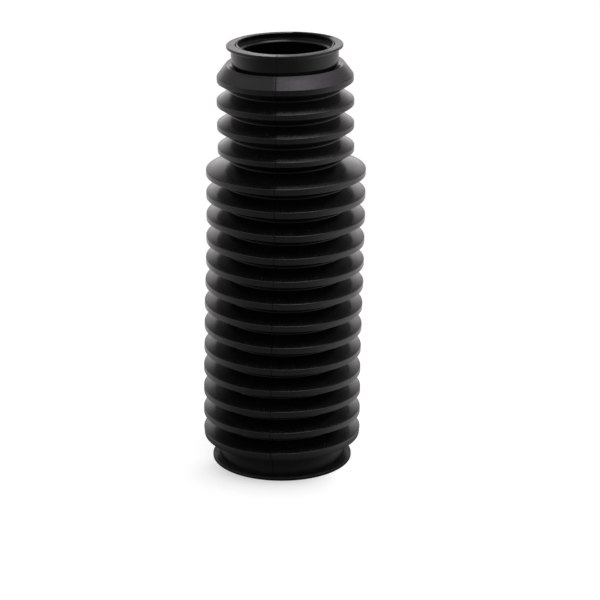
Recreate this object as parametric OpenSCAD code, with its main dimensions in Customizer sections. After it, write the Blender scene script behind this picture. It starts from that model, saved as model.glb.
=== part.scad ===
// Steering rack boot: a bellows moulded in one piece of rubber, open at both ends.
// It stands on its large cuff. The axis is Z, the foot of the cuff is at z = 0, sizes in millimetres.
// The outside is one row of corners. The inside runs parallel to it, one wall thickness away.

/* [Large cuff] */
// Bore of the cuff
cuff_bore = 51; // [46:0.1:54]
// Wall of the cuff, from its bore to its clamp seat
cuff_wall = 2.55; // [1.5:0.05:3.5]
// Height of the clamp seat between the foot flange and the first fold
cuff_seat_h = 9; // [6:0.1:14]
// How far the thin flange round the foot stands out from the clamp seat
flange_proud = 2.9; // [1.4:0.05:6]
// Thickness of the foot flange
flange_t = 1.6; // [0.8:0.1:2.4]
// Radius of the fillet between the foot flange and the clamp seat
flange_fillet = 0.6; // [0.3:0.1:1.4]
// Rise of the nearly flat underside of the first fold
underside_rise = 0.6; // [0.4:0.1:3]

/* [Large folds] */
// Number of large folds
large_folds = 13; // [3:1:16]
// Height from one large crest to the next
large_pitch = 9.95; // [9:0.05:13]
// Outside diameter of the large crests
large_crest_od = 69; // [64:0.1:76]
// Outside diameter at the bottom of the large grooves
large_root_od = 54.2; // [50:0.1:59]
// Height of the flat land round each large crest
large_land = 3; // [2.8:0.1:4.4]
// How much further down the land of the lowest fold reaches
first_land_extra = 0.6; // [0:0.1:1.6]

/* [Small folds] */
// Number of small folds
small_folds = 4; // [2:1:8]
// Height from one small crest to the next
small_pitch = 10.2; // [9:0.05:13]
// Outside diameter of the small crests
small_crest_od = 58.5; // [54:0.1:64]
// Outside diameter at the bottom of the small grooves
small_root_od = 48; // [45:0.1:53]
// Height of the flat land round each small crest
small_land = 2.4; // [2:0.1:3.6]
// Height from the top large crest to the lowest small one
step_pitch = 10.5; // [9.5:0.05:14]

/* [Neck] */
// Height from the middle of the top crest to the rim of the shoulder
shoulder_h = 6.2; // [5:0.1:10]
// Width of the ledge between the rim of the shoulder and the neck
shoulder_ledge = 2.4; // [0.9:0.05:3.4]
// How far the ledge falls from the rim to the foot of the neck
ledge_fall = 0.8; // [0.3:0.1:1.2]
// Bore of the neck
mouth_bore = 40.6; // [36:0.1:43]
// Wall of the neck, from its bore to its clamp seat
neck_wall = 2.5; // [1.4:0.05:3.2]
// Height of the neck's clamp seat
neck_seat_h = 7.9; // [5.2:0.1:10]
// How far the lip round the mouth stands out from the clamp seat
lip_proud = 2.1; // [0.9:0.05:4.4]
// Thickness of the lip
lip_t = 1.2; // [0.8:0.1:2]
// Radius of the fillet under the lip
lip_fillet = 0.8; // [0.3:0.1:1.2]

/* [Retaining rib in the neck] */
// How far the rib stands into the bore
rib_proud = 1.5; // [0.6:0.1:2.4]
// Depth of the rib below the mouth
rib_depth = 2.3; // [1.4:0.1:3]
// Height of the rib at its inner edge
rib_land = 1.2; // [0.6:0.1:1.8]
// Height of the sloped flank on each side of the rib
rib_flank = 0.6; // [0.3:0.1:1]

/* [Rubber] */
// Wall thickness of the folds
wall = 1.5; // [1.1:0.05:1.8]
// Height of the narrow land at the bottom of each groove
root_land = 0.8; // [0.6:0.1:1.4]
// Radius on the edges of the crests
crest_round = 0.5; // [0.2:0.05:0.8]
// Radius in the corners of the grooves
root_round = 0.4; // [0.2:0.05:0.6]
// Bevel on the inner edges of the two open ends
mouth_bevel = 0.35; // [0.2:0.05:0.6]
// Radius on the outer edges of the lip and the foot flange
rim_round = 0.45; // [0.2:0.05:0.6]

/* [Hidden] */

// Steps of each rounded corner, and sides of the turned form
arc_steps = 3;
$fn = 144;

// Heights on the axis
cuff_top = flange_t + cuff_seat_h;
first_large = cuff_top + underside_rise + first_land_extra + large_land / 2;
last_large = first_large + (large_folds - 1) * large_pitch;
first_small = last_large + step_pitch;
last_small = first_small + (small_folds - 1) * small_pitch;
rim_z = last_small + shoulder_h;
neck_foot = rim_z - ledge_fall;
lip_under = neck_foot + neck_seat_h;
mouth_top = lip_under + lip_t;

// Radii
cuff_bore_r = cuff_bore / 2;
cuff_r = cuff_bore_r + cuff_wall;
mouth_r = mouth_bore / 2;
neck_r = mouth_r + neck_wall;
large_r = large_crest_od / 2;
large_root_r = large_root_od / 2;
small_r = small_crest_od / 2;
small_root_r = small_root_od / 2;

// The groove over the top large fold sits half way between the two lands beside it
step_root_z = (last_large + large_land / 2 + first_small - small_land / 2) / 2;

// Share of a straight stretch that one rounded corner may use
corner_share = 0.45;

// Two corners of the flat land round a crest, or at the bottom of a groove, from below upwards
function land(r, z, h, round) = [[r, z - h / 2, round], [r, z + h / 2, round]];

// A row of folds from below upwards: a crest, then the groove above it, and no groove over the last crest.
// The land of the first crest reaches further down by extra.
function folds(count, start, pitch, crest_r, root_r, crest_land, extra = 0) = [
    for (i = [0 : count - 1])
        for (corner = concat(
            i == 0 ? land(crest_r, start - extra / 2, crest_land + extra, crest_round)
                   : land(crest_r, start + i * pitch, crest_land, crest_round),
            i < count - 1 ? land(root_r, start + (i + 0.5) * pitch, root_land, root_round) : []
        )) corner
];

// Outer corners of all the folds, from the cuff to the neck
fold_corners = concat(
    [[cuff_r, cuff_top, root_round]],
    folds(large_folds, first_large, large_pitch, large_r, large_root_r, large_land, first_land_extra),
    land(small_root_r, step_root_z, root_land, root_round),
    folds(small_folds, first_small, small_pitch, small_r, small_root_r, small_land),
    [[neck_r + shoulder_ledge, rim_z, root_round], [neck_r, neck_foot, root_round]]
);

// Unit vector from one corner to another, and the same turned towards the inside
function ahead(a, b) = [b[0] - a[0], b[1] - a[1]] / norm([b[0] - a[0], b[1] - a[1]]);
function inward(a, b) = [-ahead(a, b)[1], ahead(a, b)[0]];

// Where a corner goes when both walls that meet in it move inwards by t
function moved_corner(before, corner, after, t) =
    let (n1 = inward(before, corner), n2 = inward(corner, after), shift = (n1 + n2) * t / (1 + n1 * n2))
    [corner[0] + shift[0], corner[1] + shift[1], corner[2]];

// The row of corners t inside another, without its two ends
function inside_of(corners, t) = [
    for (i = [1 : len(corners) - 2]) moved_corner(corners[i - 1], corners[i], corners[i + 1], t)
];

// Height, at radius r, of the inner face of the wall that runs from a to b
function inner_height(a, b, r, t) =
    let (n = inward(a, b), d = ahead(a, b), start = [a[0], a[1]] + n * t)
    start[1] + (r - start[0]) * d[1] / d[0];

// One corner [r, z, radius] of a closed outline turned into the points of an arc that meets both sides
function rounded_corner(before, corner, after) =
    let (
        u = ahead(corner, before),
        v = ahead(corner, after),
        half = acos(max(-1, min(1, u * v))) / 2,
        room = corner_share * min(norm([before[0] - corner[0], before[1] - corner[1]]),
                                  norm([after[0] - corner[0], after[1] - corner[1]])),
        reach = min(corner[2] / tan(half), room),
        r = reach * tan(half),
        middle = [corner[0], corner[1]] + (u + v) / norm(u + v) * r / sin(half),
        from = [corner[0], corner[1]] + u * reach - middle,
        to = [corner[0], corner[1]] + v * reach - middle,
        sweep = 180 - 2 * half
    )
    [for (k = [0 : arc_steps])
        middle + (from * sin(sweep * (1 - k / arc_steps)) + to * sin(sweep * k / arc_steps)) / sin(sweep)];

// A closed outline with every corner that has a radius rounded
function rounded(corners) = [
    for (i = [0 : len(corners) - 1])
        let (
            before = corners[(i + len(corners) - 1) % len(corners)],
            corner = corners[i],
            after = corners[(i + 1) % len(corners)],
            points = corner[2] > 0 ? rounded_corner(before, corner, after) : [[corner[0], corner[1]]]
        )
        for (p = points) p
];

// Foot flange and clamp seat, up the outside
cuff_outside = [
    [cuff_r + flange_proud, 0, rim_round],
    [cuff_r + flange_proud, flange_t, rim_round],
    [cuff_r, flange_t, flange_fillet]
];

// Clamp seat of the neck and its lip, up the outside and over the top
neck_outside = [
    [neck_r, lip_under, lip_fillet],
    [neck_r + lip_proud, lip_under, rim_round],
    [neck_r + lip_proud, mouth_top, rim_round],
    [mouth_r + mouth_bevel, mouth_top, 0],
    [mouth_r, mouth_top - mouth_bevel, 0]
];

// Bore of the neck with its rib, from the mouth downwards
rib_top = mouth_top - rib_depth;
rib_r = mouth_r - rib_proud;
last = len(fold_corners) - 1;
neck_inside = [
    [mouth_r, rib_top, 0],
    [rib_r, rib_top - rib_flank, 0],
    [rib_r, rib_top - rib_flank - rib_land, 0],
    [mouth_r, rib_top - 2 * rib_flank - rib_land, 0],
    [mouth_r, inner_height(fold_corners[last], fold_corners[last - 1], mouth_r, -wall), 0]
];

// Inner faces of the folds, from the neck downwards
inner_corners = inside_of(fold_corners, wall);
folds_inside = [for (i = [len(inner_corners) - 1 : -1 : 0]) inner_corners[i]];

// Bore of the cuff, from the floor of the first fold down to the foot
cuff_inside = [
    [cuff_bore_r, inner_height(fold_corners[0], fold_corners[1], cuff_bore_r, wall), 0],
    [cuff_bore_r, mouth_bevel, 0],
    [cuff_bore_r + mouth_bevel, 0, 0]
];

// The whole section to the right of the axis
section = concat(cuff_outside, fold_corners, neck_outside, neck_inside, folds_inside, cuff_inside);

module rack_boot() {
    color([0.09, 0.09, 0.095])
        rotate_extrude()
            polygon(rounded(section));
}

rack_boot();
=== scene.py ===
"""Looks of a steering rack boot: one moulded rubber bellows, standing on its large cuff.

The boot is one closed surface. Its section is the row of corners of the CAD model with finer
arcs, and it is carried round the axis column by column. On the way round it gets what the
moulding, wear and the rubber's own weight give it: two parting lines, a slight bend of the
axis, folds that settle and lean, lands that are not quite round, and a mouth that is wider at
the back. Lengths are in millimetres until the mesh is made, angles in degrees from the side
that faces the camera (-Y) towards +X.
"""

import bpy
import numpy as np
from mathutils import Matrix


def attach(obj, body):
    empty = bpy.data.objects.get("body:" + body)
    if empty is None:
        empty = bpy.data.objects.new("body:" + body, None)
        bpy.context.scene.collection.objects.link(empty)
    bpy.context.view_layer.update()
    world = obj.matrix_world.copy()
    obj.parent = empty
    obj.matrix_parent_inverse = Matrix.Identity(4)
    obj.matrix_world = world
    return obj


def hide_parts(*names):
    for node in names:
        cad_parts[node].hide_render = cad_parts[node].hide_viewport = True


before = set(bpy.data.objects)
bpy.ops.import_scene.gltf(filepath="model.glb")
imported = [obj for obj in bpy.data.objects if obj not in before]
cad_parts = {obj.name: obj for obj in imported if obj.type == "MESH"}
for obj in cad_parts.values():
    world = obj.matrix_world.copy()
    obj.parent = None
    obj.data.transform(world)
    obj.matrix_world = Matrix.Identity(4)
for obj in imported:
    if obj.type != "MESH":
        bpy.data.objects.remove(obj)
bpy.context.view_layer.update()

MM = 0.001

# Camera
# The view of the photograph: a long lens, a little above the boot, looking along +Y
CAMERA_DISTANCE, CAMERA_HEIGHT, CAMERA_ASIDE = 961.4, 403.0, 7.43
CAMERA_DOWN = 18.931
LENS, SENSOR = 138.42, 36.0
# Nearest and farthest that it sees, in metres
CLIP_START, CLIP_END = 0.05, 50.0

camera_data = bpy.data.cameras.new("camera")
camera_data.lens = LENS
camera_data.sensor_width = SENSOR
camera_data.clip_start = CLIP_START
camera_data.clip_end = CLIP_END
camera = bpy.data.objects.new("camera", camera_data)
camera.location = (CAMERA_ASIDE * MM, -CAMERA_DISTANCE * MM, CAMERA_HEIGHT * MM)
camera.rotation_euler = (np.radians(90.0 - CAMERA_DOWN), 0.0, 0.0)
bpy.context.scene.collection.objects.link(camera)
bpy.context.scene.camera = camera

# Sizes of the section, as in the CAD model
CUFF_BORE_R, CUFF_WALL, CUFF_SEAT_H = 25.5, 2.55, 9.0
FLANGE_PROUD, FLANGE_T = 2.9, 1.6
UNDERSIDE_RISE, FIRST_LAND_EXTRA = 0.6, 0.6
LARGE_FOLDS, LARGE_PITCH, LARGE_R, LARGE_ROOT_R, LARGE_LAND = 13, 9.95, 34.5, 27.1, 3.0
SMALL_FOLDS, SMALL_PITCH, SMALL_R, SMALL_LAND = 4, 10.2, 29.25, 2.4
STEP_PITCH, SHOULDER_H, SHOULDER_LEDGE = 10.5, 6.2, 2.4
MOUTH_R, MOUTH_BEVEL, LIP_T, LIP_FILLET = 20.3, 0.35, 1.2, 0.8
RIB_PROUD, RIB_FLANK, WALL = 1.5, 0.6, 1.5
# Sizes that differ a little from the CAD model's, because this one boot shows them so
SMALL_ROOT_R, ROOT_LAND, ROOT_ROUND = 23.6, 0.35, 0.2
LEDGE_FALL, NECK_WALL, NECK_SEAT_H, LIP_PROUD = 1.3, 2.7, 8.4, 1.95
CREST_ROUND, RIM_ROUND, FOOT_ROUND, FLANGE_FILLET = 0.38, 0.35, 0.3, 0.1
# Radius on the less worn crests: those of the small folds, and of this many large ones from the foot up
SHARP_ROUND, SHARP_LOWEST = 0.27, 5
# How much lower the upper edge of each land lies than its rounded corner would put it, and how much higher
# the lower edge of a large one
LAND_TRIM, LARGE_TRIM = 0.25, 0.2
# How far the foot flange's top falls towards the seat above it
FLANGE_DISH = 1.1
# The foot of the neck is drawn in by this much, up to this height, with this rounding
NECK_DRAWN_IN, NECK_DRAWN_H, NECK_DRAWN_ROUND = 0.2, 2.2, 4.0

CUFF_TOP = FLANGE_T + CUFF_SEAT_H
FIRST_LARGE = CUFF_TOP + UNDERSIDE_RISE + FIRST_LAND_EXTRA + LARGE_LAND / 2
LAST_LARGE = FIRST_LARGE + (LARGE_FOLDS - 1) * LARGE_PITCH
FIRST_SMALL = LAST_LARGE + STEP_PITCH
LAST_SMALL = FIRST_SMALL + (SMALL_FOLDS - 1) * SMALL_PITCH
RIM_Z = LAST_SMALL + SHOULDER_H
NECK_FOOT = RIM_Z - LEDGE_FALL
LIP_UNDER = NECK_FOOT + NECK_SEAT_H
MOUTH_TOP = LIP_UNDER + LIP_T
CUFF_R = CUFF_BORE_R + CUFF_WALL
NECK_R = MOUTH_R + NECK_WALL

# Mouth
# Where the mould's core met its halves: a fine groove in the lip, as wide and as deep as this, and inside it
# a thin ring of rubber that stands into the bore, falls inwards, and is joined to the bore below
CORE_GROOVE_W, CORE_GROOVE_H = 0.45, 0.45
RING_PROUD, RING_FALL, RING_UNDER = 0.55, 0.2, 0.5
# Groove and ring lie within this depth below the mouth
RIM_DEPTH = 1.2
# At the sides the groove is deeper and wider by this much, coming and going between these angles
GROOVE_DEEPER, GROOVE_WIDER = 0.8, 0.35
SIDE_COMES, SIDE_GOES = (40, 52), (92, 105)
# The ring goes towards the back, between these angles from the front. Left of the front it is wider by this
# share, coming and going between these azimuths.
RING_GOES = (80, 115)
RING_WIDER, LEFT_COMES, LEFT_GOES = 0.8, (-110, -75), (-50, -8)
# The section's radius above the rib, and how much wider than MOUTH_R the bore is there by azimuth: the core
# stood a little to the back and to the right
ABOVE_RIB_R = MOUTH_R + 0.8
WIDER_AT = np.array([-180, -150, -120, -90, -76, -62, -50, -38, -20, 0, 50, 70, 90, 120, 150, 180])
WIDER = np.array([1.6, 1.45, 0.9, 0.3, 0.05, -0.14, -0.2, -0.16, -0.05, 0.05, 0.35, 0.45, 0.5, 1.0, 1.5, 1.6])
# How far below the mouth the rib's inner corner lies, how little its top falls inwards, the bevel of the
# corner, and the rib's upright stretch with the bevel
RIB_EDGE_DEPTH, RIB_TOP_FALL, RIB_BEVEL, RIB_FACE = 2.45, 0.1, 0.7, 1.75
# Rounding of the corners inside the mouth, from the groove in the lip down to the floor over the folds, of
# the folds' inner corners, and of the cuff's from its floor down
MOUTH_ROUND = (0.06, 0.05, 0.05, 0.1, 0.2, 0.03, 0.2, 0.3, 0.4, 0.15, 0.3)
INNER_ROUND = 0.3
CUFF_ROUND = (0.3, 0.1, 0.1)

# Rows and columns
# Steps of an arc on the crests and rims, in the grooves, inside the mouth and cuff, and inside the folds
CREST_STEPS, ROOT_STEPS, INNER_STEPS, FOLD_INNER_STEPS = 4, 2, 2, 1
# A stretch between two arcs gets a row this far from each arc, and rows at most this far apart between them:
# outside, and inside the neck, which ends this far below the shoulder's upper edge
HOLD, ROW_SPACING = 0.22, 2.7
NECK_SPACING, NECK_INSIDE_DEPTH = 9.0, 5.0
# Share of a straight stretch that one arc may use
CORNER_SHARE = 0.49
# Columns stand in even steps, and close together across each line, at these multiples of its half width. An
# even one this near to a close one is left out. The first stands this far past the front parting line.
COLUMN_STEP, COLUMN_GAP, FIRST_COLUMN = 3.3, 0.8, 5
SEAM_COLUMNS = np.array([-3.2, -1.9, -1.06, -0.94, -0.28, 0.28, 0.94, 1.06, 1.9, 3.2])
FAINT_COLUMNS = np.array([-2.2, -1.0, -0.28, 0.28, 1.0, 2.2])
# A point this near to a named radius or height counts as on it
NEAR = 0.1

# What moulding, wear and weight add
# Front parting line, with the other opposite: azimuth, half its width, depth, and the height where it is full
SEAM_AT, SEAM_HALF, SEAM_DEPTH, SEAM_FULL = -7.8, 0.30, 0.4, 0.5
# Faint second line on the lowest folds, and faint upright line on the cuff: azimuth, and the heights between
# which each comes and goes
INSERT_AT, INSERT_COMES, INSERT_GOES = -11.6, (10.5, 11.5), (40.5, 46.5)
MARK_AT, MARK_COMES, MARK_GOES = -24.2, (1.2, 2.0), (10.0, 10.6)
FAINT_HALF, FAINT_DEPTH = 0.28, 0.14
# Share of a line's half width that its slopes take
LINE_SLOPE = 0.7
# How far one mould half stands off the other, and half the width of the step between them, as a sine
HALF_STEP_R, HALF_STEP_Z, HALF_BLEND = 0.05, 0.04, 0.05
# Soft unevenness outwards and upwards: size, waves round the boot, turn per millimetre of height, start. It
# grows between these radii, and from none at the foot to all of it between these heights.
UNEVEN, UNEVEN_R = ((0.05, 3, 0.11, 0.0), (0.035, 5, -0.23, 1.3)), (20, 34)
WAVY, WAVY_R = ((0.05, 2, 0.37, 0.6), (0.03, 7, 0.19, 0.0)), (24, 34)
UNEVEN_Z = (1.5, 4.0)
# Flash on the lip's edge left of the parting line: the azimuths between which it comes and goes, and the
# heights over the lip's underside and radii over the neck's between which it comes
FLASH_COMES, FLASH_GOES = (-34, -29), (-9.2, -8.4)
FLASH_Z, FLASH_R = (0.6, LIP_T - 0.05), (1.2, 1.8)
# Its teeth are FLASH_MEAN + FLASH_SWING sin(FLASH_TEETH a + FLASH_START), and it stands out and up by this
FLASH_MEAN, FLASH_SWING, FLASH_TEETH, FLASH_START = 0.55, 0.45, 41, 0.7
FLASH_OUT, FLASH_UP = 0.14, 0.10
# Height and sideways place of the bent axis
AXIS_Z = np.array([0.0, 13.3, 32.9, 52.4, 72.0, 92.0, 102.5, 132.8, 147.5, 173.8, 188.3])
AXIS_X = np.array([-0.66, -0.70, -0.65, -0.26, 0.17, 0.75, 1.05, 1.32, 1.26, 1.11, 0.89])
# Height, and how much wider a fold has spread there. The bottom of a groove takes this share of it and a
# crest all, as the radius runs between these.
SPREAD_Z = np.array([10.5, 13.3, 33.5, 52.5, 72.5, 92.5, 102.5, 122.5, 132.5, 143.5, 163.5, 173.8, 176.5])
SPREAD = np.array([0.0, 0.35, 0.34, 0.16, 0.25, 0.08, -0.02, 0.02, 0.05, 0.25, 0.28, 0.0, 0.0])
SPREAD_LEAST, SPREAD_R = 0.4, (24, 33)
# How far the middle of the large folds and of the small ones has sunk
LARGE_SAG, SMALL_SAG = 0.88, 0.05
# Height, and for a fold there: how much further it sinks, and the slopes by which it tips back and rolls left
LEAN_Z = np.array([10.0, 18.0, 28.0, 38.0, 48.0, 58.0, 68.0, 78.0, 88.0, 98.0, 108.0, 118.0, 128.0, 138.0,
                   148.0, 158.0, 169.0, 176.0, 188.3])
SINK = np.array([0.0, 0.2, 0.24, 0.34, 0.38, 0.35, 0.33, 0.38, 0.42, 0.48, 0.5, 0.35, 0.19, 0.2, 0.17,
                 0.12, 0.04, 0.0, 0.0])
TIP = np.array([0.0, 4.5, -3.6, -11.2, -13.6, -16.0, -14.0, -14.6, -16.8, -18.0, -18.6, -8.0, 1.0, 0.0, 3.0,
                -1.5, -1.5, 0.0, 3.0]) / 1000
ROLL = np.array([0.0, -4.7, -1.5, 4.4, 5.5, 1.8, 3.3, 8.4, 11.3, 11.3, 6.9, 4.4, 2.5, 4.7, 4.4,
                 4.4, -0.7, 0.0, 0.0]) / 1000
# The crests also run in a slight wave round the boot: their height and half the wave's
WAVE_Z = np.array([10.0, 14.0, 24.0, 53.0, 63.0, 88.0, 98.0, 108.0, 118.0, 128.0])
WAVE = np.array([0.0, 0.2, 0.2, 0.15, 0.0, 0.1, 0.1, 0.0, -0.15, 0.0])
# Height of a fold, and how much higher it stands half way between the front and the sides
ARCH_Z = np.array([48.0, 58.0, 68.0, 88.0, 98.0, 108.0, 118.0, 128.0, 138.0, 148.0])
ARCH = np.array([0.0, 0.1, 0.15, 0.05, 0.2, 0.35, 0.3, 0.2, 0.1, 0.0])
# The foot of the neck runs in a wave, and at the sides the ledge is nearly flat: azimuth, how much higher the
# foot lies there, and the heights over the foot between which this fades out up the neck
FOOT_AT = np.array([-120, -100, -80, -66, -56, -42, -26, -10, 5, 17, 32, 46, 60, 68, 80, 100, 120])
FOOT_HIGHER = np.array([0.0, 0.9, 0.9, -0.1, -0.5, -0.4, -0.2, 0.3, 0.4, 0.4, 0.1, -0.4, -0.5, -0.1, 0.9, 0.9,
                        0.0])
FOOT_FADE = (0.3, 5.0)

# Film, partly a painted highlight, and polish
# The pale film lies right of the front parting line, where the upward part of a face's normal reaches these
# values; it is partly real and partly a painted highlight on the upward crest edges. Between these azimuths
# it fades by this share. On a fold it reaches this far from the crest.
FILM_UP, FILM_FADE, FILM_FADED, FILM_REACH = (0.15, 0.6), (16, 74), 0.9, 0.5
# Below this height, under the top large fold, only this share of it is left
FILM_BELOW, FILM_BELOW_SHARE = 125.0, 0.02
# Painted highlight line: thicker by this share at the shoulder's upper edge, coming between these depths
# below it
FILM_EDGE_HIGHLIGHT, FILM_EDGE_COMES = 0.45, (2.0, 0.4)
# Polish of the neck and the cuff, of the flange and of the inside. The folds' flanks are polished from this
# far to this far behind the crest, and 0 is the sheen of a land.
SEAT_POLISH, FLANGE_POLISH, INSIDE_POLISH = 1.0, -1.8, 0.6
FLANK_FROM = (0.4, 1.6)
# The foot of the neck is glossier, up to these heights over it
FOOT_POLISH, FOOT_GLOSS_GOES = 2.0, (1.2, 2.2)
# The ledge round it is dull in front, and less so by this much at the sides, beyond these angles
LEDGE_POLISH, LEDGE_RISE, LEDGE_COMES = -3.0, 3.7, (35, 60)
# The lip is duller by this much at the back, beyond these angles, and by a share of it at the right front
LIP_DULL, DULL_BACK = 2.2, (110, 150)
DULL_RIGHT, DULL_COMES, DULL_GOES = 0.7, (-9, 4), (40, 68)


# Section
def land(r, z, h, rounding, steps):
    """Two corners [r, z, rounding, steps]: the lower and upper end of an upright stretch of height h."""
    return [[r, z - h / 2, rounding, steps], [r, z + h / 2, rounding, steps]]


def folds(count, start, pitch, crest_r, root_r, crest_land, extra=0.0):
    """Corners of a row of folds.

    The land of crest i stands at start + i pitch, and the groove over it half a pitch above. The land
    of the first crest reaches further down by `extra`, the others are trimmed.
    """
    small = crest_r < LARGE_R
    corners = []
    for i in range(count):
        more = 0.0 if small else -LARGE_TRIM
        if i == 0:
            more = extra
        height = crest_land + more - LAND_TRIM
        rounding = SHARP_ROUND if small or i < SHARP_LOWEST else CREST_ROUND
        corners += land(crest_r, start + i * pitch - (more + LAND_TRIM) / 2, height, rounding, CREST_STEPS)
        if i < count - 1:
            corners += land(root_r, start + (i + 0.5) * pitch, ROOT_LAND, ROOT_ROUND, ROOT_STEPS)
    return corners


def unit(v):
    """Vectors divided by their lengths."""
    return v / np.linalg.norm(v, axis=-1, keepdims=True)


def moved_inside(corners, wall):
    """The corners between the first and last, each moved so that both its walls lie `wall` further in.

    With n1 and n2 the normals of the stretches before and after, the shift is
    (n1 + n2) wall / (1 + n1.n2).
    """
    points = corners[:, :2]
    ahead = unit(np.diff(points, axis=0))
    normal = np.stack([-ahead[:, 1], ahead[:, 0]], axis=1)
    n1, n2 = normal[:-1], normal[1:]
    shift = (n1 + n2) * wall / (1 + np.sum(n1 * n2, axis=1, keepdims=True))
    inside = corners[1:-1].copy()
    inside[:, :2] += shift
    return inside


def arc(before, corner, after, rounding, steps):
    """Points of an arc that leaves one side of a corner and joins the other, both without a kink.

    With half the corner's angle h, the arc starts rounding / tan h from the corner, and its
    directions from the centre are blended so that they turn evenly.
    """
    u, v = unit(before - corner), unit(after - corner)
    half = np.arccos(np.clip(u @ v, -1, 1)) / 2
    room = CORNER_SHARE * min(np.linalg.norm(before - corner), np.linalg.norm(after - corner))
    reach = min(rounding / np.tan(half), room)
    radius = reach * np.tan(half)
    middle = corner + unit(u + v) * radius / np.sin(half)
    start, end = corner + u * reach - middle, corner + v * reach - middle
    sweep = np.pi - 2 * half
    t = np.linspace(0, 1, steps + 1)[:, None]
    return middle + (start * np.sin(sweep * (1 - t)) + end * np.sin(sweep * t)) / np.sin(sweep)


def along(a, b, spacing):
    """Points strictly between a and b: one HOLD from each end, and even ones at most `spacing` apart.

    A short stretch, or one of unlimited spacing, gets none.
    """
    length = np.linalg.norm(b - a)
    if length < 3 * HOLD or np.isinf(spacing):
        return np.zeros((0, 2))
    count = int(np.ceil((length - 2 * HOLD) / spacing))
    at = np.linspace(HOLD, length - HOLD, count + 1) / length
    return a + (b - a) * at[:, None]


def row_spacing(height, outside):
    """Largest distance between rows on the stretch after a corner; inside the folds it is unlimited."""
    if outside:
        return ROW_SPACING
    return NECK_SPACING if height > RIM_Z - NECK_INSIDE_DEPTH else np.inf


def inner_height(a, b, r, wall):
    """Height at radius r of the face that lies `wall` to the left of the stretch from a to b."""
    ahead = unit(b - a)
    start = a + np.array([-ahead[1], ahead[0]]) * wall
    return start[1] + (r - start[0]) * ahead[1] / ahead[0]


def inner_corners(places, roundings):
    """Corners [r, z, rounding, steps] of the inside from their places [r, z] and roundings."""
    return [[r, z, rounding, INNER_STEPS] for (r, z), rounding in zip(places, roundings)]


def section_corners():
    """Corners [r, z, rounding, steps] of the closed section: up the outside, then down the inside."""
    step_root_z = (LAST_LARGE + LARGE_LAND / 2 + FIRST_SMALL - SMALL_LAND / 2) / 2
    fold_corners = np.array(
        [[CUFF_R, CUFF_TOP, ROOT_ROUND, ROOT_STEPS]]
        + folds(LARGE_FOLDS, FIRST_LARGE, LARGE_PITCH, LARGE_R, LARGE_ROOT_R, LARGE_LAND, FIRST_LAND_EXTRA)
        + land(SMALL_ROOT_R, step_root_z, ROOT_LAND, ROOT_ROUND, ROOT_STEPS)
        + folds(SMALL_FOLDS, FIRST_SMALL, SMALL_PITCH, SMALL_R, SMALL_ROOT_R, SMALL_LAND)
        + [[NECK_R + SHOULDER_LEDGE, RIM_Z, ROOT_ROUND, CREST_STEPS],
           [NECK_R - NECK_DRAWN_IN, NECK_FOOT, ROOT_ROUND, ROOT_STEPS],
           [NECK_R, NECK_FOOT + NECK_DRAWN_H, NECK_DRAWN_ROUND, CREST_STEPS]])
    cuff_outside = [
        [CUFF_R + FLANGE_PROUD, 0, FOOT_ROUND, CREST_STEPS],
        [CUFF_R + FLANGE_PROUD, FLANGE_T, RIM_ROUND, CREST_STEPS],
        [CUFF_R, FLANGE_T - FLANGE_DISH, FLANGE_FILLET, CREST_STEPS]]
    neck_outside = [
        [NECK_R, LIP_UNDER, LIP_FILLET, CREST_STEPS],
        [NECK_R + LIP_PROUD, LIP_UNDER, RIM_ROUND, CREST_STEPS],
        [NECK_R + LIP_PROUD, MOUTH_TOP, RIM_ROUND, CREST_STEPS]]
    rib_r, rib_edge = MOUTH_R - RIB_PROUD, MOUTH_TOP - RIB_EDGE_DEPTH
    ring_top = MOUTH_TOP - CORE_GROOVE_H / 3
    neck_inside = inner_corners([
        [ABOVE_RIB_R + CORE_GROOVE_W, MOUTH_TOP],
        [ABOVE_RIB_R + CORE_GROOVE_W / 2, MOUTH_TOP - CORE_GROOVE_H],
        [ABOVE_RIB_R, ring_top],
        [ABOVE_RIB_R - RING_PROUD, ring_top - RING_FALL],
        [ABOVE_RIB_R, ring_top - RING_FALL - RING_UNDER],
        [ABOVE_RIB_R, rib_edge + RIB_TOP_FALL],
        [rib_r + RIB_BEVEL, rib_edge],
        [rib_r, rib_edge - RIB_BEVEL],
        [rib_r, rib_edge - RIB_FACE],
        [MOUTH_R, rib_edge - RIB_FACE - RIB_FLANK],
        [MOUTH_R, inner_height(fold_corners[-3, :2], fold_corners[-2, :2], MOUTH_R, WALL)]], MOUTH_ROUND)
    folds_inside = moved_inside(fold_corners[:-1], WALL)[::-1].copy()
    folds_inside[:, 2], folds_inside[:, 3] = INNER_ROUND, FOLD_INNER_STEPS
    cuff_inside = inner_corners([
        [CUFF_BORE_R, inner_height(fold_corners[0, :2], fold_corners[1, :2], CUFF_BORE_R, WALL)],
        [CUFF_BORE_R, MOUTH_BEVEL],
        [CUFF_BORE_R + MOUTH_BEVEL, 0]], CUFF_ROUND)
    outside = np.vstack([cuff_outside, fold_corners, neck_outside])
    return np.vstack([outside, neck_inside, folds_inside, cuff_inside]), len(outside)


def section_rows():
    """The closed outline, up the outside and down the inside.

    Gives its points [r, z] and, for each, whether it is on the outside.
    """
    corners, outside_count = section_corners()
    is_outside = np.arange(len(corners)) < outside_count
    arcs = []
    for i in range(len(corners)):
        before, here, after = corners[i - 1], corners[i], corners[(i + 1) % len(corners)]
        arcs.append(arc(before[:2], here[:2], after[:2], here[2], int(here[3])))
    rows, flags = [], []
    for i, piece in enumerate(arcs):
        following = arcs[(i + 1) % len(arcs)]
        stretch = along(piece[-1], following[0], row_spacing(corners[i, 1], is_outside[i]))
        rows += [piece, stretch]
        flags += [np.full(len(piece) + len(stretch), is_outside[i])]
    return np.vstack(rows), np.concatenate(flags)


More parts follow.
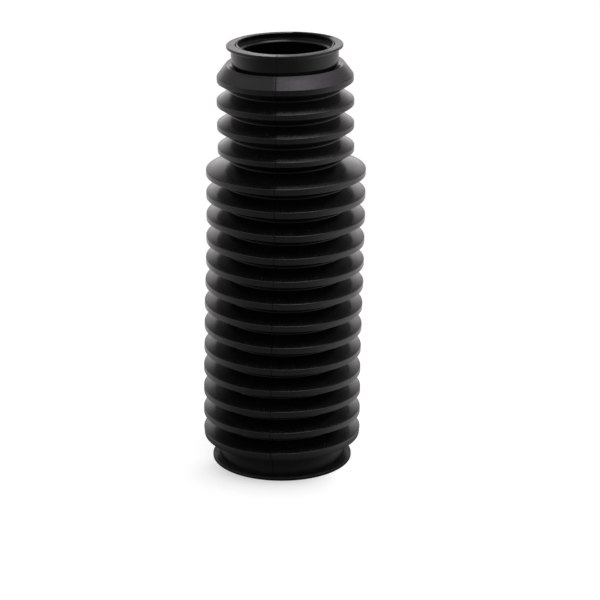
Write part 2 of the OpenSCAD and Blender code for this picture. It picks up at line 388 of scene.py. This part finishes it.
def row_normals(points):
    """Outward normals of a closed outline that runs up the outside.

    Each is the row's tangent turned by a right angle.
    """
    tangent = unit(np.roll(points, -1, axis=0) - np.roll(points, 1, axis=0))
    return np.stack([tangent[:, 1], -tangent[:, 0]], axis=1)


def column_angles():
    """Azimuths of the columns: even steps, with close ones across each parting line and mark."""
    close = np.concatenate([SEAM_AT + SEAM_COLUMNS * SEAM_HALF, SEAM_AT + 180 + SEAM_COLUMNS * SEAM_HALF,
                            INSERT_AT + FAINT_COLUMNS * FAINT_HALF, MARK_AT + FAINT_COLUMNS * FAINT_HALF])
    even = SEAM_AT + np.arange(0, 360, COLUMN_STEP)
    gap = np.abs(turned(even[:, None], close[None, :])).min(axis=1)
    angles = np.concatenate([close, even[gap > COLUMN_GAP]])
    return np.sort((angles - SEAM_AT - FIRST_COLUMN) % 360) + SEAM_AT + FIRST_COLUMN


# What happens on the way round
# Here `out` is 1 outside and 0 inside, and `front` is the azimuth between -180 and 180.
def smooth(edge0, edge1, x):
    """0 below edge0, 1 above edge1, and 3t^2 - 2t^3 between them."""
    t = np.clip((x - edge0) / (edge1 - edge0), 0, 1)
    return t * t * (3 - 2 * t)


def between(comes, goes, x):
    """0, rising to 1 between the two values of `comes`, and falling to 0 again between those of `goes`."""
    return smooth(*comes, x) * (1 - smooth(*goes, x))


def turned(angle, about):
    """An angle in degrees measured from another one, between -180 and 180."""
    return (angle - about + 180) % 360 - 180


def groove(angle, about, half):
    """A narrow channel at `about`: 1 along its middle, and sloping evenly to 0 at `half` on both sides."""
    return np.clip((1 - np.abs(turned(angle, about)) / half) / LINE_SLOPE, 0, 1)


def rippled(waves, theta, z):
    """Sum of size sin(count theta + turn z + start) over the waves."""
    return sum(size * np.sin(count * theta + turn * z + start) for size, count, turn, start in waves)


def axis_curve(z):
    """Sideways place of the axis at height z and its slope there.

    Between two stations it is the cubic that has their places and, as slopes, the mean rise
    over the stations beside each, with the foot upright.
    """
    slopes = np.gradient(AXIS_X, AXIS_Z)
    slopes[0] = 0.0
    i = np.clip(np.searchsorted(AXIS_Z, z) - 1, 0, len(AXIS_Z) - 2)
    h = AXIS_Z[i + 1] - AXIS_Z[i]
    t = np.clip((z - AXIS_Z[i]) / h, 0, 1)
    a, b, ma, mb = AXIS_X[i], AXIS_X[i + 1], slopes[i] * h, slopes[i + 1] * h
    place = ((2 * t**3 - 3 * t**2 + 1) * a + (t**3 - 2 * t**2 + t) * ma
             + (3 * t**2 - 2 * t**3) * b + (t**3 - t**2) * mb)
    slope = ((6 * t**2 - 6 * t) * a + (3 * t**2 - 4 * t + 1) * ma
             + (6 * t - 6 * t**2) * b + (3 * t**2 - 2 * t) * mb) / h
    return place, slope


def settled(z):
    """Height after the stack has settled: the large folds and the small ones each sink by a half sine."""
    large = np.clip((z - FIRST_LARGE) / (LAST_LARGE - FIRST_LARGE), 0, 1)
    small = np.clip((z - FIRST_SMALL) / (LAST_SMALL - FIRST_SMALL), 0, 1)
    return z - LARGE_SAG * np.sin(np.pi * large) - SMALL_SAG * np.sin(np.pi * small)


def line_depth(a, z, out, seams):
    """Depth of the V of both parting lines and both faint lines at each point."""
    insert = groove(a, INSERT_AT, FAINT_HALF) * (1 - smooth(*INSERT_GOES, z)) * smooth(*INSERT_COMES, z)
    mark = groove(a, MARK_AT, FAINT_HALF) * (1 - smooth(*MARK_GOES, z)) * smooth(*MARK_COMES, z)
    return out * (SEAM_DEPTH * seams + FAINT_DEPTH * (insert + mark)) * smooth(0.0, SEAM_FULL, z)


def lip_flash(a, r, z, out):
    """Small teeth of flash on the lip's edge, in 0..1."""
    low, high = FLASH_Z
    inner, outer = FLASH_R
    teeth = FLASH_MEAN + FLASH_SWING * np.sin(np.radians(a) * FLASH_TEETH + FLASH_START)
    return (out * smooth(LIP_UNDER + low, LIP_UNDER + high, z) * smooth(NECK_R + inner, NECK_R + outer, r)
            * between(FLASH_COMES, FLASH_GOES, turned(a, 0)) * teeth)


def opened_mouth(grown, r, z, out, front):
    """The radii `grown` with the mouth's changes by azimuth, and in 0..1 where the lip's groove is deeper.

    Above the rib the bore's radius is MOUTH_R + WIDER. The ring loses what it stands inwards at
    the back and gains a share of it left of the front. At the sides the groove and its outer edge
    move outwards.
    """
    rib_r = MOUTH_R - RIB_PROUD
    above_rib = (1 - out) * (z > MOUTH_TOP - RIB_EDGE_DEPTH - RIB_FACE / 2)
    at_rim = (1 - out) * (z > MOUTH_TOP - RIM_DEPTH)
    ring = at_rim * np.clip(ABOVE_RIB_R - r, 0, None)
    share = np.clip((r - rib_r - RIB_BEVEL) / (ABOVE_RIB_R - rib_r - RIB_BEVEL), 0, 1)
    share = np.where(ring > 0, 1.0, share)
    grown = grown + above_rib * share * (np.interp(front, WIDER_AT, WIDER) + MOUTH_R - ABOVE_RIB_R)
    left = between(LEFT_COMES, LEFT_GOES, front)
    grown = grown + ring * (smooth(*RING_GOES, np.abs(front)) - RING_WIDER * left)

    at_side = between(SIDE_COMES, SIDE_GOES, np.abs(front))
    in_groove = at_rim * (z < MOUTH_TOP - CORE_GROOVE_H / 2) * (r > ABOVE_RIB_R + NEAR) * at_side
    lip_edge = at_rim * (z > MOUTH_TOP - NEAR) * (r > ABOVE_RIB_R + CORE_GROOVE_W - NEAR)
    return grown + GROOVE_WIDER * at_side * (lip_edge + in_groove / 2), in_groove


def neck_foot_wave(r, z, out, front):
    """How much higher the neck's foot is, fading to nothing at the shoulder's edge and up the neck."""
    low, high = FOOT_FADE
    on_ledge = np.clip((RIM_Z - z) / LEDGE_FALL, 0, 1) * (r < NECK_R + SHOULDER_LEDGE - NEAR / 2)
    on_neck = 1 - smooth(NECK_FOOT + low, NECK_FOOT + high, z)
    by_foot = np.where(r < NECK_R + NEAR / 2, on_neck, on_ledge)
    return by_foot * out * (z > NECK_FOOT - NEAR) * np.interp(front, FOOT_AT, FOOT_HIGHER)


def behind_crest(r, z):
    """How far a point lies behind the crests of its row of folds."""
    return np.where(z > LAST_LARGE + STEP_PITCH / 2, SMALL_R, LARGE_R) - r


def film_and_highlight_mask(a, r, z, nz, out, right):
    """In 0..1, where the pale film lies, partly a painted highlight: on the whole shoulder, and on a fold
    close to the crest.
    """
    # The film is partly real and partly a painted highlight on the upward crest edges and the shoulder's
    # upper edge.
    beside_crest = np.exp(-np.clip(behind_crest(r, z), 0, None) / FILM_REACH)
    reached = np.select([z > RIM_Z - NEAR, z > LAST_SMALL], [0.0, 1.0], beside_crest)
    film = out * right * smooth(*FILM_UP, nz) * reached * (1 - FILM_FADED * smooth(*FILM_FADE, turned(a, 0)))
    film = film * np.where(z < FILM_BELOW, FILM_BELOW_SHARE, 1.0) * (1 - groove(a, SEAM_AT, 2 * SEAM_HALF))
    deep, shallow = FILM_EDGE_COMES
    return film * (1 + FILM_EDGE_HIGHLIGHT * smooth(RIM_Z - deep, RIM_Z - shallow, z))


def polish_of(r, z, out, front):
    """How glossy each point is against a land, which has 0. The material says what a unit of it does."""
    from_front = np.abs(front)
    polish = np.select(
        [out == 0, z < FLANGE_T + NEAR / 2, z > LIP_UNDER + 2 * NEAR, z > RIM_Z - NEAR, z > LAST_SMALL,
         z < CUFF_TOP],
        [INSIDE_POLISH, FLANGE_POLISH, 0.0, SEAT_POLISH, 0.0, SEAT_POLISH],
        smooth(*FLANK_FROM, behind_crest(r, z)))
    near_foot = out * (z > NECK_FOOT - NEAR) * (z < NECK_FOOT + FOOT_GLOSS_GOES[1])
    on_ledge = LEDGE_POLISH + LEDGE_RISE * smooth(*LEDGE_COMES, from_front)
    on_neck = FOOT_POLISH - smooth(*FOOT_GLOSS_GOES, z - NECK_FOOT)
    polish = np.where(near_foot > 0, np.where(r > NECK_R + 3 * NEAR, on_ledge, on_neck), polish)
    lip = (z > MOUTH_TOP - 2 * NEAR) * (r > MOUTH_R)
    dull = smooth(*DULL_BACK, from_front) + DULL_RIGHT * between(DULL_COMES, DULL_GOES, front)
    return polish - LIP_DULL * lip * dull


def boot_surface():
    """Grid of points (rows x columns x 3) of the whole boot, and what the materials need to know of each.

    Row i of the section at azimuth a lies at x = axis(z) + r sin a, y = -r cos a. Before that
    - r takes the spread of the folds, the mouth's changes by azimuth, a soft unevenness, the step
      between the mould halves and the flash on the lip,
    - z takes the settling, an unevenness of its own, the step and the flash, TIP (r cos a - LARGE_R),
      the sink, WAVE sin 2a, ARCH sin^2 2a, the neck foot's wave and the deeper groove in the lip,
    - both take the V of each line along the row's normal.
    The row is then tipped sideways by the axis's slope less ROLL.
    """
    points, outside = section_rows()
    normal = row_normals(points)
    r, z = points[:, :1], points[:, 1:]
    nr, nz = normal[:, :1], normal[:, 1:]
    out = outside[:, None].astype(float)
    a = column_angles()[None, :]
    theta = np.radians(a)
    front = turned(a, 0)

    seams = groove(a, SEAM_AT, SEAM_HALF) + groove(a, SEAM_AT + 180, SEAM_HALF)
    depth = line_depth(a, z, out, seams)
    right = smooth(-HALF_BLEND, HALF_BLEND, np.sin(np.radians(turned(a, SEAM_AT))))
    raised = smooth(*UNEVEN_Z, z)
    flash = lip_flash(a, r, z, out)

    spread_share = SPREAD_LEAST + (1 - SPREAD_LEAST) * smooth(*SPREAD_R, r)
    grown = r + np.interp(z, SPREAD_Z, SPREAD) * spread_share
    grown, in_groove = opened_mouth(grown, r, z, out, front)
    uneven = rippled(UNEVEN, theta, z) * smooth(*UNEVEN_R, r)
    grown = grown + raised * (uneven + out * HALF_STEP_R * (right - 0.5)) + FLASH_OUT * flash
    grown = grown - nr * depth

    wavy = rippled(WAVY, theta, z) * smooth(*WAVY_R, r)
    high = settled(z) + raised * (wavy + out * HALF_STEP_Z * (right - 0.5)) + FLASH_UP * flash
    high = high - nz * depth + np.interp(z, LEAN_Z, TIP) * (r * np.cos(theta) - LARGE_R)
    high = high - np.interp(z, LEAN_Z, SINK) + np.interp(z, WAVE_Z, WAVE) * np.sin(2 * theta)
    high = high + np.interp(z, ARCH_Z, ARCH) * np.sin(2 * theta) ** 2
    high = high + neck_foot_wave(r, z, out, front) - GROOVE_DEEPER * in_groove

    place, slope = axis_curve(high)
    aside = grown * np.sin(theta)
    turn = np.arctan(slope - np.interp(z, LEAN_Z, ROLL))
    x, y = place + aside * np.cos(turn), -grown * np.cos(theta)
    xyz = np.stack([x, y, high - aside * np.sin(turn)], axis=-1)
    facts = {
        "polish": polish_of(r, z, out, front),
        "seam": seams * out,
        "film": film_and_highlight_mask(a, r, z, nz, out, right),
        "up": np.clip(nz, 0, 1) * out,
    }
    return xyz, facts


def add_surface(name, xyz, facts):
    """A closed mesh from a grid that wraps round both ways: faces outwards, facts as attributes."""
    rows, columns = xyz.shape[:2]
    index = np.arange(rows * columns).reshape(rows, columns)
    up, side = np.roll(index, -1, axis=0), np.roll(index, -1, axis=1)
    across = np.roll(up, -1, axis=1)
    quads = np.stack([index, side, across, up], axis=-1).reshape(-1, 4)
    points = (xyz * MM).reshape(-1, 3)
    p = points[quads]
    first, diagonal, last = p[:, 1] - p[:, 0], p[:, 2] - p[:, 0], p[:, 3] - p[:, 0]
    volume = np.sum((np.cross(first, diagonal) + np.cross(diagonal, last)) * p[:, 0])
    if volume < 0:
        quads = quads[:, ::-1]
    mesh = bpy.data.meshes.new(name)
    mesh.vertices.add(len(points))
    mesh.vertices.foreach_set("co", points.astype(np.float32).ravel())
    mesh.loops.add(quads.size)
    mesh.loops.foreach_set("vertex_index", quads.astype(np.int32).ravel())
    mesh.polygons.add(len(quads))
    mesh.polygons.foreach_set("loop_start", np.arange(0, quads.size, 4, dtype=np.int32))
    mesh.polygons.foreach_set("use_smooth", np.ones(len(quads), dtype=bool))
    for fact, values in facts.items():
        layer = mesh.attributes.new(fact, "FLOAT", "POINT")
        layer.data.foreach_set("value", np.broadcast_to(values, (rows, columns)).astype(np.float32).ravel())
    mesh.update(calc_edges=True)
    mesh.validate()
    piece = bpy.data.objects.new(name, mesh)
    bpy.context.scene.collection.objects.link(piece)
    return piece


# Nodes
def feed(tree, value, socket):
    """Link a socket to an input, or set the input to a number, or to a colour of three numbers."""
    if isinstance(value, bpy.types.NodeSocket):
        tree.links.new(value, socket)
    elif isinstance(value, tuple):
        socket.default_value = (*value, 1.0)
    else:
        socket.default_value = value


def calculated(tree, operation, a, b, clamp=False):
    """A Math node; a and b are sockets or numbers."""
    node = tree.nodes.new("ShaderNodeMath")
    node.operation = operation
    node.use_clamp = clamp
    feed(tree, a, node.inputs[0])
    feed(tree, b, node.inputs[1])
    return node.outputs[0]


def ranged(tree, value, low, high, to_low=0.0, to_high=1.0, kind="SMOOTHSTEP"):
    """A Map Range node from low..high to to_low..to_high."""
    node = tree.nodes.new("ShaderNodeMapRange")
    node.interpolation_type = kind
    for label, number in (("From Min", low), ("From Max", high), ("To Min", to_low), ("To Max", to_high)):
        node.inputs[label].default_value = number
    tree.links.new(value, node.inputs["Value"])
    return node.outputs["Result"]


def noise(tree, vector, scale, detail, roughness):
    """A Noise node of this many cells per metre."""
    node = tree.nodes.new("ShaderNodeTexNoise")
    for label, value in (("Vector", vector), ("Scale", scale), ("Detail", detail), ("Roughness", roughness)):
        feed(tree, value, node.inputs[label])
    return node.outputs["Fac"]


def blended(tree, share, a, b):
    """A colour Mix node; a and b are colours or sockets."""
    node = tree.nodes.new("ShaderNodeMix")
    node.data_type = "RGBA"
    feed(tree, share, node.inputs["Factor"])
    feed(tree, a, node.inputs[6])
    feed(tree, b, node.inputs[7])
    return node.outputs[2]


def attribute(tree, name):
    """The value of one of the points' attributes."""
    node = tree.nodes.new("ShaderNodeAttribute")
    node.attribute_name = name
    return node.outputs["Fac"]


def dotted(tree, vector, direction):
    """The dot product of a vector and a fixed direction."""
    node = tree.nodes.new("ShaderNodeVectorMath")
    node.operation = "DOT_PRODUCT"
    tree.links.new(vector, node.inputs[0])
    node.inputs[1].default_value = direction
    return node.outputs["Value"]


def stepped(tree, value, places, amounts):
    """A number that takes the given amounts at the given places and runs softly between them."""
    ramp = tree.nodes.new("ShaderNodeValToRGB")
    ramp.color_ramp.interpolation = "EASE"
    low, high, most = places[0], places[-1], max(amounts)
    stops = ramp.color_ramp.elements
    for place in places[1:-1]:
        stops.new((place - low) / (high - low))
    for stop, amount in zip(stops, amounts):
        stop.color = (amount / most, amount / most, amount / most, 1.0)
    tree.links.new(ranged(tree, value, low, high, kind="LINEAR"), ramp.inputs["Fac"])
    return calculated(tree, "MULTIPLY", ramp.outputs["Color"], most)


def placed(tree, group, **values):
    """A group node with its inputs set to numbers or linked to sockets."""
    node = tree.nodes.new("ShaderNodeGroup")
    node.node_tree = group
    for label, value in values.items():
        feed(tree, value, node.inputs[label])
    return node


# Shader groups
# Scale in cells per metre, detail and roughness of each noise
GRAIN_NOISE = (3600.0, 3.0, 0.6)
MOTTLE_NOISE = (260.0, 3.0, 0.55)
SPECKLE_NOISE = (1500.0, 2.0, 0.6)
CLOUD_NOISE = (150.0, 4.0, 0.6)
FILM_SPECKLE_NOISE = (1500.0, 3.0, 0.7)
DUST_NOISE = (420.0, 1.0, 0.5)
# Between these values of its noise an effect runs from its least to its most
MOTTLE_RANGE = (0.35, 0.65)
CLOUD_RANGE, CLOUD_AMOUNT = (0.25, 0.75), (0.7, 1.0)
FILM_SPECKLE_RANGE, FILM_SPECKLE_AMOUNT = (0.35, 0.7), (0.7, 1.25)
DUST_RANGE = (0.58, 0.64)
# Cells of dust per metre, and the distances from a cell's middle at which a speck ends and is full
DUST_CELLS, SPECK_SIZE = 700.0, (0.16, 0.05)


def new_group(name, inputs, outputs):
    """A node group with named float or vector sockets, its input and output nodes."""
    tree = bpy.data.node_groups.new(name, "ShaderNodeTree")
    for label, kind, default in inputs:
        socket = tree.interface.new_socket(label, in_out="INPUT", socket_type="NodeSocket" + kind)
        if default is not None:
            socket.default_value = default
    for label in outputs:
        tree.interface.new_socket(label, in_out="OUTPUT", socket_type="NodeSocketFloat")
    return tree, tree.nodes.new("NodeGroupInput"), tree.nodes.new("NodeGroupOutput")


def grain_group():
    """Fine grain left by the blasted mould: a height in 0..1 and a mottling in 0..1, patches with speckle."""
    tree, source, result = new_group(
        "mould_grain",
        [("Vector", "Vector", None), ("Grain per m", "Float", GRAIN_NOISE[0]),
         ("Mottle per m", "Float", MOTTLE_NOISE[0]), ("Speckle per m", "Float", SPECKLE_NOISE[0])],
        ["Height", "Mottle"])
    vector = source.outputs["Vector"]
    fine = noise(tree, vector, source.outputs["Grain per m"], *GRAIN_NOISE[1:])
    slow = noise(tree, vector, source.outputs["Mottle per m"], *MOTTLE_NOISE[1:])
    speckle = noise(tree, vector, source.outputs["Speckle per m"], *SPECKLE_NOISE[1:])
    mean = calculated(tree, "MULTIPLY", calculated(tree, "ADD", slow, speckle), 0.5)
    tree.links.new(fine, result.inputs["Height"])
    tree.links.new(ranged(tree, mean, *MOTTLE_RANGE), result.inputs["Mottle"])
    return tree


def film_and_highlight_group():
    """Pale film that rubber brings up on faces that look upwards, partly a painted highlight: a patchy mask
    in 0..1.

    Mask is where it may lie, Amount how much of it there is.
    """
    tree, source, result = new_group(
        "pale_film_and_highlight", [("Vector", "Vector", None), ("Mask", "Float", 0.0), ("Amount", "Float", 1.0)], ["Film"])
    vector = source.outputs["Vector"]
    cloud = ranged(tree, noise(tree, vector, *CLOUD_NOISE), *CLOUD_RANGE, *CLOUD_AMOUNT)
    fine = noise(tree, vector, *FILM_SPECKLE_NOISE)
    speckle = ranged(tree, fine, *FILM_SPECKLE_RANGE, *FILM_SPECKLE_AMOUNT)
    lying = calculated(tree, "MULTIPLY", source.outputs["Mask"], source.outputs["Amount"])
    patchy = calculated(tree, "MULTIPLY", cloud, speckle)
    tree.links.new(calculated(tree, "MULTIPLY", lying, patchy, clamp=True), result.inputs["Film"])
    return tree


def dust_group():
    """A few fine specks of lint and dust: a mask in 0..1, thicker where Mask is high."""
    tree, source, result = new_group(
        "dust_specks",
        [("Vector", "Vector", None), ("Mask", "Float", 0.0), ("Specks per m", "Float", DUST_CELLS)],
        ["Dust"])
    vector = source.outputs["Vector"]
    cells = tree.nodes.new("ShaderNodeTexVoronoi")
    tree.links.new(vector, cells.inputs["Vector"])
    tree.links.new(source.outputs["Specks per m"], cells.inputs["Scale"])
    spot = ranged(tree, cells.outputs["Distance"], *SPECK_SIZE)
    chosen = ranged(tree, noise(tree, vector, *DUST_NOISE), *DUST_RANGE)
    specks = calculated(tree, "MULTIPLY", spot, chosen)
    lying = calculated(tree, "MULTIPLY", specks, source.outputs["Mask"], clamp=True)
    tree.links.new(lying, result.inputs["Dust"])
    return tree


GRAIN, FILM, DUST = grain_group(), film_and_highlight_group(), dust_group()

# Rubber
IOR = 1.52
# Colours of the rubber, the film (partly a painted highlight), dust and the parting lines, and the shares of
# the rubber's own that the mottling gives it at its least and most
BASE_COLOUR, FILM_AND_HIGHLIGHT_COLOUR = (0.0044, 0.0043, 0.0044), (0.099, 0.094, 0.107)
DUST_COLOUR, SEAM_COLOUR = (0.09, 0.088, 0.085), (0.004, 0.004, 0.004)
MOTTLED_SHARES = (0.75, 1.25)
# How much of the film there is, how much of their colour the parting lines take, and where dust begins to
# lie and is full, by the upward part of a face's normal
FILM_AMOUNT, SEAM_SHARE, DUST_UP = 0.88, 0.6, (0.15, 0.6)
# Roughness, what the mottling takes away at its least and adds at its most, what a unit of polish takes away,
# and what the parting lines and the film add
ROUGHNESS, MOTTLED_LESS, MOTTLED_MORE = 0.27, 0.035, 0.04
POLISH_ROUGHNESS, SEAM_ROUGHNESS, FILM_ROUGHNESS = 0.1, 0.25, 0.2
# Height of the mould's grain, in millimetres
GRAIN_HEIGHT = 0.006


def rubber(name):
    """Moulded black rubber: grain from the mould, mottled sheen, pale film (partly a painted highlight), dark
    parting line, dust.
    """
    material = bpy.data.materials.new(name)
    material.use_nodes = True
    tree = material.node_tree
    shader = tree.nodes["Principled BSDF"]
    shader.inputs["IOR"].default_value = IOR
    place = tree.nodes.new("ShaderNodeTexCoord").outputs["Object"]
    grain = placed(tree, GRAIN, Vector=place)
    facing_up = ranged(tree, attribute(tree, "up"), *DUST_UP)
    film = placed(tree, FILM, Vector=place, Mask=attribute(tree, "film"), Amount=FILM_AMOUNT)
    dust = placed(tree, DUST, Vector=place, Mask=facing_up)

    dark, light = (tuple(share * part for part in BASE_COLOUR) for share in MOTTLED_SHARES)
    darker = calculated(tree, "MULTIPLY", attribute(tree, "seam"), SEAM_SHARE)
    colour = blended(tree, grain.outputs["Mottle"], dark, light)
    # The film's pale colour is partly a painted highlight along the upward crest edges right of the parting
    # line.
    colour = blended(tree, film.outputs["Film"], colour, FILM_AND_HIGHLIGHT_COLOUR)
    colour = blended(tree, dust.outputs["Dust"], colour, DUST_COLOUR)
    colour = blended(tree, darker, colour, SEAM_COLOUR)
    tree.links.new(colour, shader.inputs["Base Color"])

    sheen = ranged(tree, grain.outputs["Mottle"], 0.0, 1.0,
                   ROUGHNESS - MOTTLED_LESS, ROUGHNESS + MOTTLED_MORE, "LINEAR")
    for operation, effect, amount in (("SUBTRACT", attribute(tree, "polish"), POLISH_ROUGHNESS),
                                      ("ADD", attribute(tree, "seam"), SEAM_ROUGHNESS),
                                      ("ADD", film.outputs["Film"], FILM_ROUGHNESS)):
        sheen = calculated(tree, operation, sheen, calculated(tree, "MULTIPLY", effect, amount))
    tree.links.new(sheen, shader.inputs["Roughness"])

    bump = tree.nodes.new("ShaderNodeBump")
    bump.inputs["Strength"].default_value = 1.0
    bump.inputs["Distance"].default_value = GRAIN_HEIGHT * MM
    tree.links.new(grain.outputs["Height"], bump.inputs["Height"])
    tree.links.new(bump.outputs["Normal"], shader.inputs["Normal"])
    return material


# The boot
boot = add_surface("rubber_bellows", *boot_surface())
boot.data.materials.append(rubber("moulded_black_rubber"))
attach(boot, "root")
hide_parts("rack_boot")

# Floor, studio and light
# Lengths here are in metres. The part b of a direction that points to the back is -1 in front and 1 behind.
HALF_FLOOR = 4.0
LIGHT_TINT = (1.02, 0.985, 0.99)
# To the camera the paper is lit by this much at a distance from the axis, less a soft painted shadow, and
# takes this share of the light that falls on it. The painted shadow lies in front: it is full and lost at
# these values of b.
PAPER_COLOUR = (0.6, 0.6, 0.6)
PAPER_AT = [0.0, 0.06, 0.3, 0.6]
PAPER_LIGHT = [0.81, 0.81, 0.66, 0.65]
SHADOW_AT = [0.031, 0.0345, 0.0385, 0.0425, 0.052, 0.1]
SHADOW = [0.36, 0.33, 0.255, 0.195, 0.13, 0.0]
SHADOW_SIDES = (-0.95, -0.3)
# In the rubber the floor's light rises from the front to the back, between these values of b, and straight
# behind it falls to a share
FRONT_LIGHT, BACK_LIGHT, LIGHT_RISES = 0.16, 0.84, (-1.0, 0.6)
STRAIGHT_BEHIND, STRAIGHT_SHARE = (0.86, 1.0), 0.88
# Azimuth of the floor's darker side
FLOOR_DARK_AT = -15.0
# Shade painted into the floor's light where the boot's would fall: opposite this azimuth, distance
# (SHADE_MEAN - SHADE_TURN b) is looked up between two values, from full shade to none
FLOOR_SHADE_AT, SHADE_MEAN, SHADE_TURN, SHADE_ENDS = 10.0, 2.6, 1.9, (0.03, 0.21)
# Distance on the floor from the boot's axis, and the share of the floor's light there: low near the boot, as
# painted shade. Directions are taken no nearer to the axis than the least distance.
FLOOR_AT = [0.0, 0.0328, 0.0355, 0.0376, 0.0405, 0.045, 0.05, 0.0535, 0.0585, 0.067, 0.088, 0.14, 0.21,
            0.32, 0.45, 0.56, 0.8]
FLOOR_SHARE = [0.02, 0.05, 0.8, 0.8, 0.6, 0.42, 0.42, 1.05, 1.62, 1.32, 1.06, 1.1, 1.3,
               1.34, 1.19, 1.06, 0.82]
LEAST_DISTANCE = 0.001
# Light of the tent from its open side, at this azimuth, to its back: b, and how bright it is there
TENT_OPEN_AT = 3.0
TENT_B = [-1.0, -0.3, 0.1, 0.5, 0.7, 0.8, 0.9, 1.0]
TENT_LIGHT = [0.22, 0.60, 0.60, 0.43, 0.45, 0.60, 0.96, 1.28]
# High up behind the zenith the tent is open: where height plus half of b lies between these values, its light
# fades, and this share of it is lost
TENT_FADE, TENT_LOST = (0.78, 1.0), 0.92
# Soft box overhead: where it stands, how far round it its light is full and gone, and how bright it is
BOX_TOWARDS = (0.24, -0.19, 0.952)
BOX_FULL, BOX_GONE, BOX_LIGHT = 10.0, 27.0, 2.0


def away_from(azimuth, length=1.0, up=0.0):
    """A vector that points away from an azimuth, with this length on the floor and this height."""
    a = np.radians(azimuth)
    return -np.sin(a) * length, np.cos(a) * length, up


def for_camera(tree, shown, others):
    """A shader mix: `shown` to rays from the camera, also through clear pieces, and `others` to the rest."""
    path = tree.nodes.new("ShaderNodeLightPath")
    seen = calculated(tree, "MAXIMUM", path.outputs["Is Camera Ray"], path.outputs["Is Transmission Ray"])
    mix = tree.nodes.new("ShaderNodeMixShader")
    tree.links.new(seen, mix.inputs["Fac"])
    tree.links.new(others, mix.inputs[1])
    tree.links.new(shown, mix.inputs[2])
    return mix.outputs["Shader"]


def shining(tree, kind, colour, strength=1.0):
    """An Emission or Background shader of a colour and strength."""
    node = tree.nodes.new(kind)
    feed(tree, colour, node.inputs["Color"])
    feed(tree, strength, node.inputs["Strength"])
    return node.outputs[0]


def studio_world():
    """Plain white to the camera. To the boot it is a soft tent with one soft box overhead.

    The tent is open and so darker on the camera's side and brightest behind: the light of a
    direction is read from TENT_LIGHT by the part of it that points to the back.
    """
    world = bpy.data.worlds.new("soft_tent")
    bpy.context.scene.world = world
    world.use_nodes = True
    tree = world.node_tree
    tree.nodes.clear()
    direction = tree.nodes.new("ShaderNodeTexCoord").outputs["Generated"]
    back = dotted(tree, direction, away_from(TENT_OPEN_AT))
    high_back = dotted(tree, direction, away_from(TENT_OPEN_AT, 0.5, 1.0))
    left_over = ranged(tree, high_back, *TENT_FADE, 1.0, 1.0 - TENT_LOST)
    cloth = calculated(tree, "MULTIPLY", stepped(tree, back, TENT_B, TENT_LIGHT), left_over)
    box = ranged(tree, dotted(tree, direction, BOX_TOWARDS), np.cos(np.radians(BOX_GONE)),
                 np.cos(np.radians(BOX_FULL)), 0.0, BOX_LIGHT)
    strength = calculated(tree, "ADD", cloth, box)
    tent = shining(tree, "ShaderNodeBackground", LIGHT_TINT, strength)
    white = shining(tree, "ShaderNodeBackground", (1.0, 1.0, 1.0))
    result = tree.nodes.new("ShaderNodeOutputWorld")
    tree.links.new(for_camera(tree, white, tent), result.inputs["Surface"])


def floor_material():
    """White to the camera, with a soft shadow in front: partly the boot's own, partly painted into the
    paper's light.

    Its reflection in the rubber is its own light with painted shade: it dims towards the camera's side and
    close to the boot, as the paper under a tent does.
    """
    material = bpy.data.materials.new("pale_floor")
    material.use_nodes = True
    tree = material.node_tree
    tree.nodes.clear()
    place = tree.nodes.new("ShaderNodeTexCoord").outputs["Object"]
    length = tree.nodes.new("ShaderNodeVectorMath")
    length.operation = "LENGTH"
    tree.links.new(place, length.inputs[0])
    distance = length.outputs["Value"]
    divisor = calculated(tree, "MAXIMUM", distance, LEAST_DISTANCE)
    back = calculated(tree, "DIVIDE", dotted(tree, place, away_from(FLOOR_DARK_AT)), divisor)
    behind = calculated(tree, "DIVIDE", dotted(tree, place, away_from(FLOOR_SHADE_AT)), divisor)

    # The shadow in front of the foot is painted: the paper's own light falls there.
    in_front = ranged(tree, back, *SHADOW_SIDES, 1.0, 0.0)
    shadow = calculated(tree, "MULTIPLY", stepped(tree, distance, SHADOW_AT, SHADOW), in_front)
    light = calculated(tree, "SUBTRACT", stepped(tree, distance, PAPER_AT, PAPER_LIGHT), shadow)
    matt = tree.nodes.new("ShaderNodeBsdfDiffuse")
    feed(tree, PAPER_COLOUR, matt.inputs["Color"])
    paper = tree.nodes.new("ShaderNodeAddShader")
    tree.links.new(matt.outputs["BSDF"], paper.inputs[0])
    tree.links.new(shining(tree, "ShaderNodeEmission", (1.0, 1.0, 1.0), light), paper.inputs[1])

    rise = ranged(tree, back, *LIGHT_RISES, 0.0, BACK_LIGHT - FRONT_LIGHT)
    rise = calculated(tree, "MULTIPLY", rise, ranged(tree, back, *STRAIGHT_BEHIND, 1.0, STRAIGHT_SHARE))
    # In the rubber's view the floor's light has painted shade close to the boot.
    shade = calculated(tree, "SUBTRACT", SHADE_MEAN, calculated(tree, "MULTIPLY", behind, SHADE_TURN))
    shade = calculated(tree, "MULTIPLY", distance, shade)
    rise = calculated(tree, "MULTIPLY", rise, ranged(tree, shade, *SHADE_ENDS, kind="LINEAR"))
    side = calculated(tree, "ADD", rise, FRONT_LIGHT)
    strength = calculated(tree, "MULTIPLY", side, stepped(tree, distance, FLOOR_AT, FLOOR_SHARE))
    mirrored = shining(tree, "ShaderNodeEmission", LIGHT_TINT, strength)
    result = tree.nodes.new("ShaderNodeOutputMaterial")
    tree.links.new(for_camera(tree, paper.outputs["Shader"], mirrored), result.inputs["Surface"])
    return material


floor_mesh = bpy.data.meshes.new("floor")
floor_corners = [(-HALF_FLOOR, -HALF_FLOOR, 0), (HALF_FLOOR, -HALF_FLOOR, 0),
                 (HALF_FLOOR, HALF_FLOOR, 0), (-HALF_FLOOR, HALF_FLOOR, 0)]
floor_mesh.from_pydata(floor_corners, [], [(0, 1, 2, 3)])
floor = bpy.data.objects.new("floor", floor_mesh)
bpy.context.scene.collection.objects.link(floor)
floor_mesh.materials.append(floor_material())
studio_world()

bpy.context.scene.view_settings.view_transform = "Standard"
